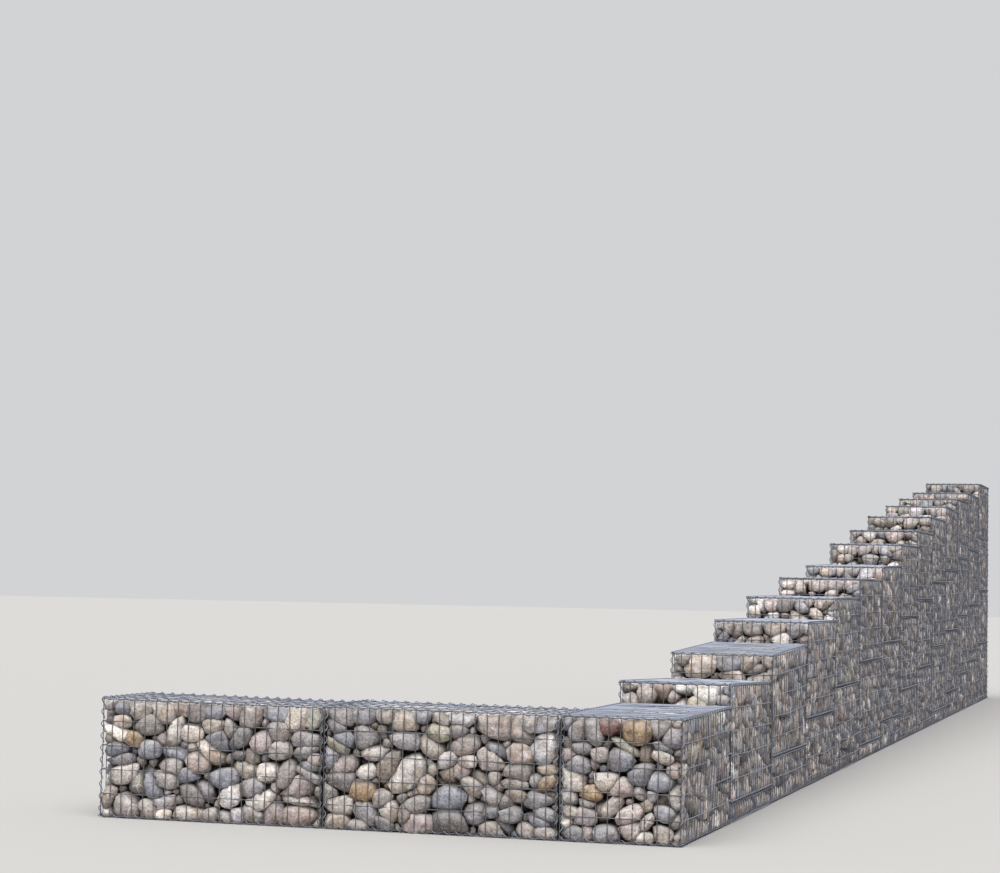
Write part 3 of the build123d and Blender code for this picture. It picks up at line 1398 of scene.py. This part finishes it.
class GABION_OT_stage(bpy.types.Operator):
    """Lay the floor and set the lights and the camera"""

    bl_idname = "gabion.stage"
    bl_label = "Stage"

    def execute(self, context):
        settings = context.scene.gabion_stage
        material, _, principled = shader("Pale floor")
        principled.inputs["Base Color"].default_value = (*settings.floor_colour, 1)
        principled.inputs["Roughness"].default_value = 0.9
        corners = [(FLOOR_REACH * x, FLOOR_REACH * y, 0) for x, y in ((-1, -1), (1, -1), (1, 1), (-1, 1))]
        mesh = bpy.data.meshes.new("floor")
        mesh.from_pydata(corners, [], [(0, 1, 2, 3)])
        mesh.materials.append(material)
        floor = bpy.data.objects.new("floor", mesh)
        context.scene.collection.objects.link(floor)
        world = bpy.data.worlds.new("Soft sky")
        world.use_nodes = True
        sky = world.node_tree.nodes["Background"]
        sky.inputs["Color"].default_value = SKY_TINT
        sky.inputs["Strength"].default_value = settings.sky
        context.scene.world = world
        context.scene.view_settings.view_transform = "Standard"
        light = bpy.data.lights.new("Sun", "SUN")
        light.energy = settings.sun
        light.angle = SUN_WIDTH
        light.color = SUN_TINT
        sun = bpy.data.objects.new("Sun", light)
        sun.rotation_euler = Vector(SUN_WAY).to_track_quat("Z", "Y").to_euler()
        context.scene.collection.objects.link(sun)
        self.place_camera(context, settings)
        return {"FINISHED"}

    def place_camera(self, context, settings):
        """The camera looks back along the wall, turned by yaw, raised by pitch and tilted by roll."""
        yaw, pitch, roll = settings.yaw, settings.pitch, settings.roll
        flat = math.cos(pitch)
        forward = np.array([math.sin(yaw) * flat, math.cos(yaw) * flat, math.sin(pitch)])
        level = np.array([math.cos(yaw), -math.sin(yaw), 0])
        upward = np.cross(level, forward)
        right = math.cos(roll) * level + math.sin(roll) * upward
        up = math.cos(roll) * upward - math.sin(roll) * level
        data = bpy.data.cameras.new("Camera")
        data.sensor_width = FILM_WIDTH
        data.lens = settings.lens
        data.clip_end = SIGHT
        camera = bpy.data.objects.new("Camera", data)
        turn = Matrix([right, up, -forward]).transposed().to_4x4()
        camera.matrix_world = Matrix.Translation(settings.camera_place) @ turn
        context.scene.collection.objects.link(camera)
        context.scene.camera = camera


# The groups of settings, and the operators that use each
PANEL_ROWS = (
    ("gabion_cobbles", ("gabion.cobbles", "gabion.hearting")),
    ("gabion_mesh", ("gabion.mesh", "gabion.spirals")),
    ("gabion_stage", ("gabion.stage",)),
)


class GABION_PT_wall(bpy.types.Panel):
    """Sizes and colours of the wall, with a button for each part of it"""

    bl_idname = "GABION_PT_wall"
    bl_label = "Gabion wall"
    bl_space_type = "VIEW_3D"
    bl_region_type = "UI"
    bl_category = "Gabion"

    def draw(self, context):
        layout = self.layout
        for owner, operators in PANEL_ROWS:
            section = layout.box()
            settings = getattr(context.scene, owner)
            for name in settings.bl_rna.properties.keys():
                if name not in ("rna_type", "name"):
                    section.prop(settings, name)
            for operator in operators:
                section.operator(operator)


CLASSES = (
    MeshSettings,
    CobbleSettings,
    StageSettings,
    GABION_OT_cobbles,
    GABION_OT_hearting,
    GABION_OT_mesh,
    GABION_OT_spirals,
    GABION_OT_stage,
    GABION_PT_wall,
)


def register():
    """Adds the classes and the settings."""
    for made in CLASSES:
        bpy.utils.register_class(made)
    bpy.types.Scene.gabion_mesh = PointerProperty(type=MeshSettings)
    bpy.types.Scene.gabion_cobbles = PointerProperty(type=CobbleSettings)
    bpy.types.Scene.gabion_stage = PointerProperty(type=StageSettings)


def unregister():
    """Takes the settings and the classes away."""
    del bpy.types.Scene.gabion_stage
    del bpy.types.Scene.gabion_cobbles
    del bpy.types.Scene.gabion_mesh
    for made in reversed(CLASSES):
        bpy.utils.unregister_class(made)


def main():
    """Builds the whole dressed wall."""
    register()
    bpy.ops.gabion.cobbles()
    bpy.ops.gabion.hearting()
    bpy.ops.gabion.mesh()
    bpy.ops.gabion.spirals()
    bpy.ops.gabion.stage()


if __name__ == "__main__":
    main()
